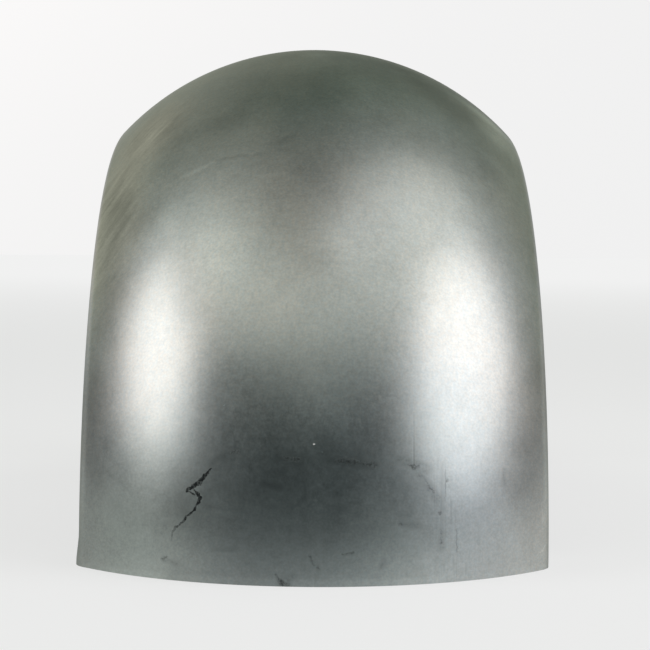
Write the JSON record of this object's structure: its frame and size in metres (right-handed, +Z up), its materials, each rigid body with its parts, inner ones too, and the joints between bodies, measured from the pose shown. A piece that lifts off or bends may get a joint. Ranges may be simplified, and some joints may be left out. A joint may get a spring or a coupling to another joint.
{
  "type": "motorcycle rear fender",
  "caption": "Wide sheet-steel rear fender pressing: a half-circle arch with a crowned top, rounded shoulders and flat side skirts, open below for the wheel.",
  "frame": {"origin": "on the wheel axle's centre line, midway between the skirts; the fender stands as an arch on its two trimmed ends, which lie in the plane of the axle, so this is also the centre of its base", "axes": "+X across the wheel, to the right seen from behind; +Y towards the front end; +Z up to the crown"},
  "size_m": [0.29, 0.684, 0.342],
  "materials": {
    "raw_steel": "satin, unpainted, with handling marks"
  },
  "bodies": {
    "root": {"fender": "raw_steel"}
  },
  "joints": []
}
